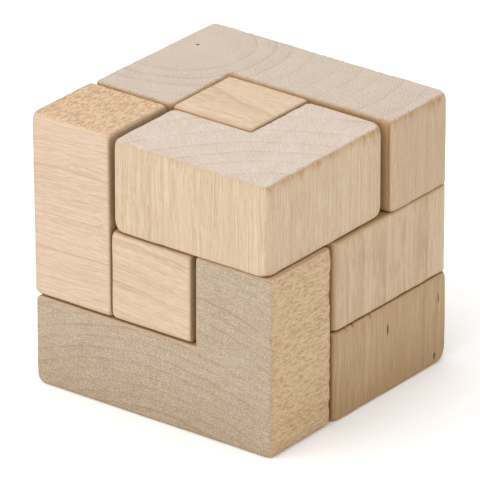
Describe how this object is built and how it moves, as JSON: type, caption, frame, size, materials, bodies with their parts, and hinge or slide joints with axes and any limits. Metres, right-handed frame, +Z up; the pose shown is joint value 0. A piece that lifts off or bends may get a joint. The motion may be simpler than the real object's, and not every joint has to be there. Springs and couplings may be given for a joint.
{
  "type": "wooden cube puzzle",
  "caption": "Packing puzzle of loose flat hardwood blocks, L, V, T and Z shaped, that fill a cube and hold together only by how they are stacked.",
  "frame": {"origin": "middle of the cube's footprint, on the face that it stands on", "axes": "+Z up, +X to the right along the front face, +Y from the front to the back"},
  "size_m": [0.0604, 0.0602, 0.0598],
  "materials": {
    "core_t_wood": "bare sanded wood",
    "left_z_wood": "bare sanded wood",
    "front_l_wood": "bare sanded wood",
    "bottom_back_l_wood": "bare sanded wood",
    "middle_back_l_wood": "bare sanded wood",
    "top_back_l_wood": "bare sanded wood",
    "top_front_v_wood": "bare sanded wood"
  },
  "bodies": {
    "core": {"core_t_block": "core_t_wood"},
    "left": {"left_z_block": "left_z_wood"},
    "front": {"front_l_block": "front_l_wood"},
    "bottom_back": {"bottom_back_l_block": "bottom_back_l_wood"},
    "middle_back": {"middle_back_l_block": "middle_back_l_wood"},
    "top_back": {"top_back_l_block": "top_back_l_wood"},
    "top_front": {"top_front_v_block": "top_front_v_wood"}
  },
  "joints": [
    {"name": "left_slides_out", "type": "slide", "parent": "core", "child": "left", "axis": [-1, 0, 0], "range_m": [0, 0.035]},
    {"name": "front_slides_out", "type": "slide", "parent": "core", "child": "front", "axis": [0, -1, 0], "range_m": [0, 0.035]},
    {"name": "bottom_back_slides_out", "type": "slide", "parent": "core", "child": "bottom_back", "axis": [1, 0, 0], "range_m": [0, 0.075]},
    {"name": "middle_back_slides_out", "type": "slide", "parent": "core", "child": "middle_back", "axis": [0, 1, 0], "range_m": [0, 0.055]},
    {"name": "top_back_lifts_off", "type": "slide", "parent": "core", "child": "top_back", "axis": [0, 0, 1], "range_m": [0, 0.05]},
    {"name": "top_front_lifts_off", "type": "slide", "parent": "core", "child": "top_front", "axis": [0, 0, 1], "range_m": [0, 0.03]}
  ]
}
